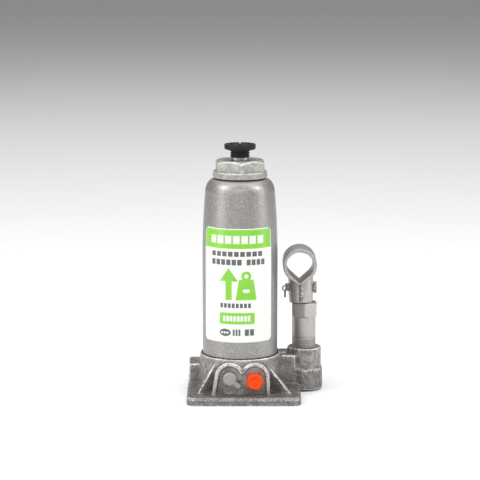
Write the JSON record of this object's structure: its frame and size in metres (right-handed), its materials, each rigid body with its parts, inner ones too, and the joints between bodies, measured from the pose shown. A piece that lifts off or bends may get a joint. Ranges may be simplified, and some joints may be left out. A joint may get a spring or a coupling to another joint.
{
  "type": "hydraulic bottle jack",
  "caption": "Upright hydraulic bottle jack: cast base, round oil tank, ram with extension screw and saddle, side pump with tubular handle socket.",
  "frame": {"origin": "on the ram's axis, on the underside of the base", "axes": "+Z is the lifting direction, +X points from the ram's axis to the pump's side, -Y points to the side with the two valves"},
  "size_m": [0.1052, 0.0895, 0.195],
  "materials": {
    "cast_paint": "silver-grey paint over a rough casting",
    "tank_paint": "smooth silver-grey metallic paint",
    "bright_steel": "ground and polished steel",
    "black_steel": "phosphated black steel",
    "black_rubber": "matt",
    "white_nylon": "matt",
    "copper": "soft copper washer",
    "brass_mesh": "perforated disc",
    "orange_plastic": "semi-gloss moulded plastic",
    "label_film": "printed white and green film"
  },
  "bodies": {
    "base": {"base_casting": "cast_paint", "tank_shell": "tank_paint", "tank_foot_gasket": "black_rubber", "label": "label_film", "filler_plug": "black_rubber", "cylinder_tube": "bright_steel", "cylinder_seal_ring": "copper", "top_gasket": "black_rubber", "top_nut": "cast_paint", "top_nut_oring": "black_rubber", "ram_wiper": "black_rubber", "overload_cap": "orange_plastic", "overload_screw": "bright_steel", "overload_spring": "bright_steel", "pump_cylinder": "tank_paint", "pump_washer": "copper", "pump_wiper": "black_rubber", "suction_retainer": "bright_steel", "suction_strainer": "brass_mesh", "suction_passage_plug": "bright_steel", "delivery_spring": "bright_steel", "delivery_plug": "bright_steel", "link_lower_pin": "bright_steel", "link_clips": "black_steel"},
    "ram": {"ram": "bright_steel", "piston_head": "bright_steel", "ram_backing_ring": "white_nylon", "ram_cup_seal": "black_rubber", "piston_nut": "bright_steel"},
    "saddle": {"saddle": "black_steel", "saddle_snap_ring": "bright_steel"},
    "extension_screw": {"extension_screw": "bright_steel", "screw_stop_ring": "black_steel"},
    "release_ball": {"release_ball": "bright_steel"},
    "release_screw": {"release_screw": "cast_paint", "release_oring": "black_rubber"},
    "overload_ball": {"overload_ball": "bright_steel"},
    "plunger": {"pump_plunger": "bright_steel", "plunger_seal": "black_rubber", "plunger_ring": "white_nylon"},
    "suction_ball": {"suction_ball": "bright_steel"},
    "delivery_ball": {"delivery_ball": "bright_steel"},
    "socket": {"handle_socket": "tank_paint", "socket_yoke": "tank_paint", "clevis_pin": "bright_steel", "cotter_pin": "bright_steel"},
    "link": {"link_left": "tank_paint", "link_right": "tank_paint", "link_upper_pin": "bright_steel"}
  },
  "joints": [
    {"name": "ram_lift", "type": "slide", "parent": "base", "child": "ram", "axis": [0, 0, 1], "range_m": [0, 0.125]},
    {"name": "saddle_rise", "type": "slide", "parent": "ram", "child": "saddle", "axis": [0, 0, 1], "range_m": [0, 0.06]},
    {"name": "screw_turn", "type": "hinge", "parent": "saddle", "child": "extension_screw", "pos_m": [0, 0, 0.15], "axis": [0, 0, 1], "range_deg": [0, 7200]},
    {"name": "pump_stroke", "type": "slide", "parent": "base", "child": "plunger", "axis": [0, 0, 1], "range_m": [0, 0.016]},
    {"name": "handle_swing", "type": "hinge", "parent": "plunger", "child": "socket", "pos_m": [0.0477, 0.015, 0.0807], "axis": [-1, 0, 0], "range_deg": [0, 50.5]},
    {"name": "link_swing", "type": "hinge", "parent": "base", "child": "link", "pos_m": [0.0477, 0.035, 0.018], "axis": [1, 0, 0], "range_deg": [0, 5.6]},
    {"name": "release_travel", "type": "slide", "parent": "base", "child": "release_ball", "axis": [0, -1, 0], "range_m": [0, 0.003]},
    {"name": "release_turn", "type": "hinge", "parent": "release_ball", "child": "release_screw", "pos_m": [-0.0079, -0.034, 0.019], "axis": [0, -1, 0], "range_deg": [0, 720]},
    {"name": "overload_opening", "type": "slide", "parent": "base", "child": "overload_ball", "axis": [0, -1, 0], "range_m": [0, 0.001], "stiffness_N_per_m": 5, "springref_m": -0.002, "deforming": ["overload_spring"]},
    {"name": "suction_opening", "type": "slide", "parent": "base", "child": "suction_ball", "axis": [0, 0, 1], "range_m": [0, 0.0012]},
    {"name": "delivery_opening", "type": "slide", "parent": "base", "child": "delivery_ball", "axis": [0, 0, 1], "range_m": [0, 0.0012], "stiffness_N_per_m": 5, "springref_m": -0.002, "deforming": ["delivery_spring"]}
  ],
  "couplings": [
    {"joint": "screw_turn", "follows": "saddle_rise", "rad_per_m": 2094.4},
    {"joint": "release_turn", "follows": "release_travel", "rad_per_m": 4188.8},
    {"joint": "handle_swing", "follows": "pump_stroke", "rad_per_m": 55},
    {"joint": "link_swing", "follows": "pump_stroke", "rad_per_m": 6.1}
  ]
}
